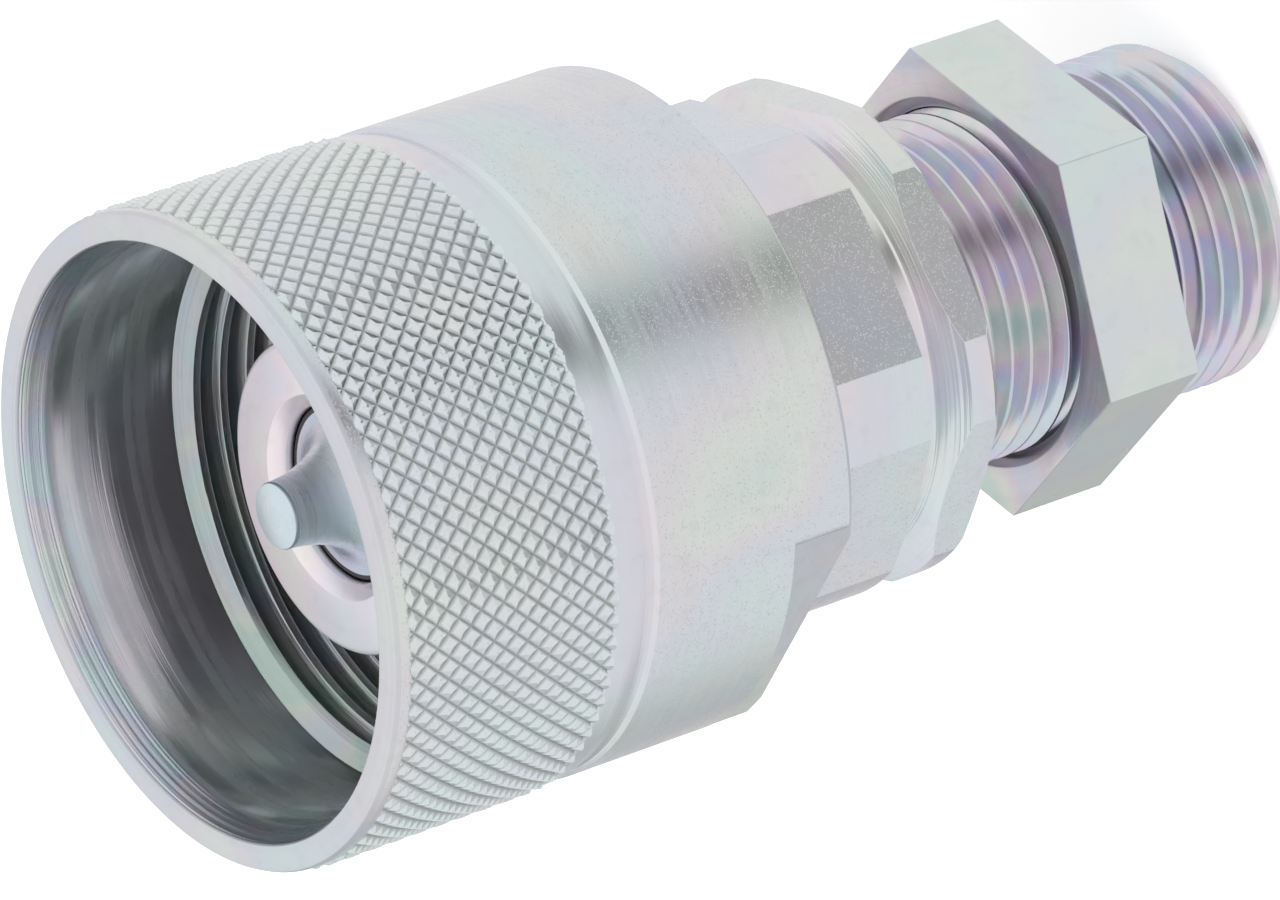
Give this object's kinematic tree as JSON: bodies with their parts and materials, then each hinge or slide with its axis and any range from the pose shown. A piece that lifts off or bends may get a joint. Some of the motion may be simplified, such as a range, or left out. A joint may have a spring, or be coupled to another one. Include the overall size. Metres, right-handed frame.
{
  "type": "screw-to-connect hydraulic quick coupling half with bulkhead stud",
  "caption": "Plated steel coupling half: knurled union sleeve round a flat nose with a spring-loaded poppet valve, hexagon body, threaded bulkhead stud with a sealing cone, and lock nut.",
  "frame": {"origin": "Centre of the flat end face of the bulkhead stud, on the coupling's axis; the part stands on this face.", "axes": "+Z runs along the axis from the tube end to the mouth of the sleeve; +X points at a corner of the body's hexagon and +Y at one of its flats."},
  "size_m": [0.0414, 0.0414, 0.0755],
  "materials": {
    "plated_steel": "zinc plated, satin, faintly iridescent",
    "nut_steel": "zinc plated, satin",
    "nose_steel": "fine turned, plated",
    "poppet_steel": "fine turned, plated",
    "spring_steel": "drawn wire",
    "guide_steel": "pressed and plated",
    "seal_rubber": "matt nitrile",
    "ring_plastic": "matt PTFE"
  },
  "bodies": {
    "body": {"hex_adaptor": "plated_steel", "valve_body": "plated_steel", "nose_bushing": "nose_steel", "bushing_oring": "seal_rubber", "body_oring": "seal_rubber", "body_backup_ring": "ring_plastic", "valve_guide": "guide_steel", "guide_snap_ring": "spring_steel", "spring_washer": "guide_steel", "sleeve_slip_ring": "ring_plastic", "valve_spring": "spring_steel"},
    "sleeve": {"coupling_sleeve": "plated_steel", "sleeve_wiper": "seal_rubber"},
    "poppet": {"poppet": "poppet_steel", "poppet_seal": "seal_rubber", "seal_washer": "guide_steel", "poppet_stem": "guide_steel"},
    "nut": {"lock_nut": "nut_steel"}
  },
  "joints": [
    {"name": "sleeve_spin", "type": "hinge", "parent": "body", "child": "sleeve", "pos_m": [0, 0, 0.0447], "axis": [0, 0, 1], "continuous": true},
    {"name": "poppet_slide", "type": "slide", "parent": "body", "child": "poppet", "axis": [0, 0, -1], "range_m": [0, 0.005], "stiffness_N_per_m": 3000, "springref_m": -0.002, "deforming": ["valve_spring"]},
    {"name": "nut_travel", "type": "slide", "parent": "body", "child": "nut", "axis": [0, 0, 1], "range_m": [-0.009, 0.009]}
  ]
}
